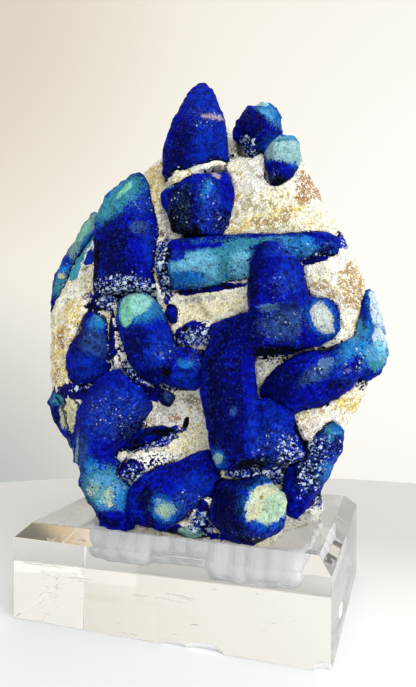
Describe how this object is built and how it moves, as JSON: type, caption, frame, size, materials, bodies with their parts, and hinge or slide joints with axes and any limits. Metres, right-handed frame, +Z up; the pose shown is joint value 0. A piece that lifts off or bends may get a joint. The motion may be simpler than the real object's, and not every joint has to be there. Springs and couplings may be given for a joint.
{
  "type": "afghanite mineral specimen on a clear acrylic block",
  "caption": "Deep blue afghanite crystals in white marble, leaning back slightly in a milled pocket of a clear acrylic block with chamfered top edges.",
  "frame": {"origin": "middle of the acrylic block's underside", "axes": "+X to the right and +Y to the back as the crystals are looked at, +Z up"},
  "size_m": [0.0805, 0.0504, 0.1171],
  "materials": {
    "clear_acrylic": "polished, the pocket milled and frosted",
    "marble": "rough, sugary calcite with brown and yellow stains",
    "blue_crystal": "satin, mottled deep blue with pale ends and dark rims",
    "pale_crystal": "satin, pale blue and blue-grey"
  },
  "bodies": {
    "root": {"acrylic_base": "clear_acrylic", "marble_matrix": "marble", "crystals_centre": "blue_crystal", "crystal_top_point": "blue_crystal", "crystal_top_stem": "blue_crystal", "crystals_top_right": "blue_crystal", "crystal_upper_left": "blue_crystal", "crystals_centre_left": "blue_crystal", "crystals_right": "blue_crystal", "crystal_bottom_right": "blue_crystal", "crystal_lower_left": "blue_crystal", "crystal_bottom_centre": "blue_crystal", "crystal_left_spindle": "blue_crystal", "crystal_right_lower": "blue_crystal", "crystal_left_edge": "pale_crystal", "crystal_left_rim": "pale_crystal", "crystal_window_wedge": "blue_crystal", "crystal_window_bead": "blue_crystal", "crystal_bar_bud": "blue_crystal"}
  },
  "joints": []
}
